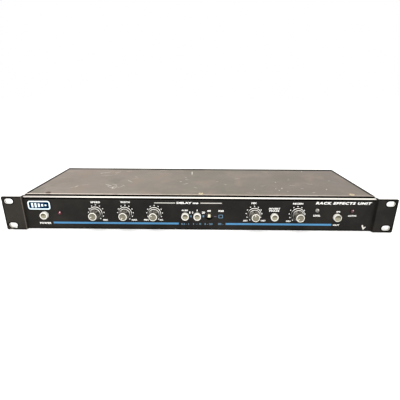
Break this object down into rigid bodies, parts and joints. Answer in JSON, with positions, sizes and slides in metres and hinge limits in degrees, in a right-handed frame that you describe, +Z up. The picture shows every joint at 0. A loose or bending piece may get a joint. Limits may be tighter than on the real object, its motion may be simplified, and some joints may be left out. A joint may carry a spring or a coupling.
{
  "type": "rack effects unit",
  "caption": "One-unit 19-inch rack effects unit with slotted ears, turning knobs, push buttons, indicator lamps and a painted cover.",
  "frame": {"origin": "middle of the chassis underside, the face the unit rests on", "axes": "+X along the width towards the viewer's right, -Y out of the control face, +Z up"},
  "size_m": [0.4826, 0.1667, 0.0444],
  "materials": {
    "panel_black": "satin black paint, worn",
    "cover_paint": "grey-brown satin paint, scratched",
    "zinc_steel": "zinc-plated sheet",
    "badge_blue": "printed plate",
    "yellow_zinc": "yellow zinc passivate",
    "board_green": "solder mask",
    "core_steel": "varnished laminations",
    "winding_tape": "copper winding under yellow tape",
    "capacitor_sleeve": "shrink sleeve",
    "sink_black": "black anodised",
    "chip_black": "moulded epoxy",
    "jack_black": "moulded nylon",
    "led_red": "tinted epoxy lens",
    "led_clear": "clear epoxy lens",
    "switch_grey": "moulded",
    "pot_steel": "plated can",
    "shaft_aluminium": "turned",
    "knob_black": "moulded phenolic",
    "inlay_aluminium": "spun disc",
    "button_cream": "moulded",
    "plunger_cream": "moulded"
  },
  "bodies": {
    "chassis": {"front_panel": "panel_black", "badge_plate": "badge_blue", "chassis_tray": "zinc_steel", "top_cover": "cover_paint", "rear_panel": "zinc_steel", "cover_screw_front_left": "yellow_zinc", "cover_screw_front_middle": "yellow_zinc", "cover_screw_front_right": "yellow_zinc", "cover_screw_rear_left": "yellow_zinc", "cover_screw_rear_right": "yellow_zinc", "power_switch": "switch_grey", "range_switch": "switch_grey", "invert_switch": "switch_grey", "in_out_switch": "switch_grey", "power_led": "led_red", "level_led": "led_clear", "active_led": "led_red", "main_circuit_board": "board_green", "transformer_core": "core_steel", "transformer_winding": "winding_tape", "filter_capacitor": "capacitor_sleeve", "regulator_heatsink": "sink_black", "memory_chip": "chip_black", "converter_chip": "chip_black", "input_jack": "jack_black", "output_jack": "jack_black", "footswitch_jack": "jack_black", "fuse_holder": "jack_black", "mains_inlet": "jack_black", "speed_potentiometer": "pot_steel", "width_potentiometer": "pot_steel", "delay_potentiometer": "pot_steel", "mix_potentiometer": "pot_steel", "regen_potentiometer": "pot_steel"},
    "speed_control": {"speed_shaft": "shaft_aluminium", "speed_knob": "knob_black", "speed_knob_inlay": "inlay_aluminium"},
    "width_control": {"width_shaft": "shaft_aluminium", "width_knob": "knob_black", "width_knob_inlay": "inlay_aluminium"},
    "delay_control": {"delay_shaft": "shaft_aluminium", "delay_knob": "knob_black", "delay_knob_inlay": "inlay_aluminium"},
    "mix_control": {"mix_shaft": "shaft_aluminium", "mix_knob": "knob_black", "mix_knob_inlay": "inlay_aluminium"},
    "regen_control": {"regen_shaft": "shaft_aluminium", "regen_knob": "knob_black", "regen_knob_inlay": "inlay_aluminium"},
    "power_pushbutton": {"power_plunger": "plunger_cream", "power_button": "button_cream"},
    "range_1_pushbutton": {"range_1_plunger": "plunger_cream", "range_1_button": "button_cream"},
    "range_2_pushbutton": {"range_2_plunger": "plunger_cream", "range_2_button": "button_cream"},
    "range_3_pushbutton": {"range_3_plunger": "plunger_cream"},
    "invert_pushbutton": {"invert_plunger": "plunger_cream", "invert_button": "button_cream"},
    "in_out_pushbutton": {"in_out_plunger": "plunger_cream", "in_out_button": "button_cream"}
  },
  "joints": [
    {"name": "speed_turn", "type": "hinge", "parent": "chassis", "child": "speed_control", "pos_m": [-0.128, -0.0738, 0.0224], "axis": [0, 1, 0], "range_deg": [-38, 262]},
    {"name": "width_turn", "type": "hinge", "parent": "chassis", "child": "width_control", "pos_m": [-0.09145, -0.0738, 0.0224], "axis": [0, 1, 0], "range_deg": [0, 300]},
    {"name": "delay_turn", "type": "hinge", "parent": "chassis", "child": "delay_control", "pos_m": [-0.0552, -0.0738, 0.0224], "axis": [0, 1, 0], "range_deg": [-90, 210]},
    {"name": "mix_turn", "type": "hinge", "parent": "chassis", "child": "mix_control", "pos_m": [0.0686, -0.0738, 0.0224], "axis": [0, 1, 0], "range_deg": [-142, 158]},
    {"name": "regen_turn", "type": "hinge", "parent": "chassis", "child": "regen_control", "pos_m": [0.122, -0.0738, 0.0224], "axis": [0, 1, 0], "range_deg": [-15, 285]},
    {"name": "power_press", "type": "slide", "parent": "chassis", "child": "power_pushbutton", "axis": [0, 1, 0], "range_m": [0, 0.003]},
    {"name": "range_1_press", "type": "slide", "parent": "chassis", "child": "range_1_pushbutton", "axis": [0, 1, 0], "range_m": [0, 0.003]},
    {"name": "range_2_press", "type": "slide", "parent": "chassis", "child": "range_2_pushbutton", "axis": [0, 1, 0], "range_m": [0, 0.003]},
    {"name": "range_3_press", "type": "slide", "parent": "chassis", "child": "range_3_pushbutton", "axis": [0, 1, 0], "range_m": [0, 0.003]},
    {"name": "invert_press", "type": "slide", "parent": "chassis", "child": "invert_pushbutton", "axis": [0, 1, 0], "range_m": [0, 0.003]},
    {"name": "in_out_press", "type": "slide", "parent": "chassis", "child": "in_out_pushbutton", "axis": [0, 1, 0], "range_m": [0, 0.003]}
  ]
}
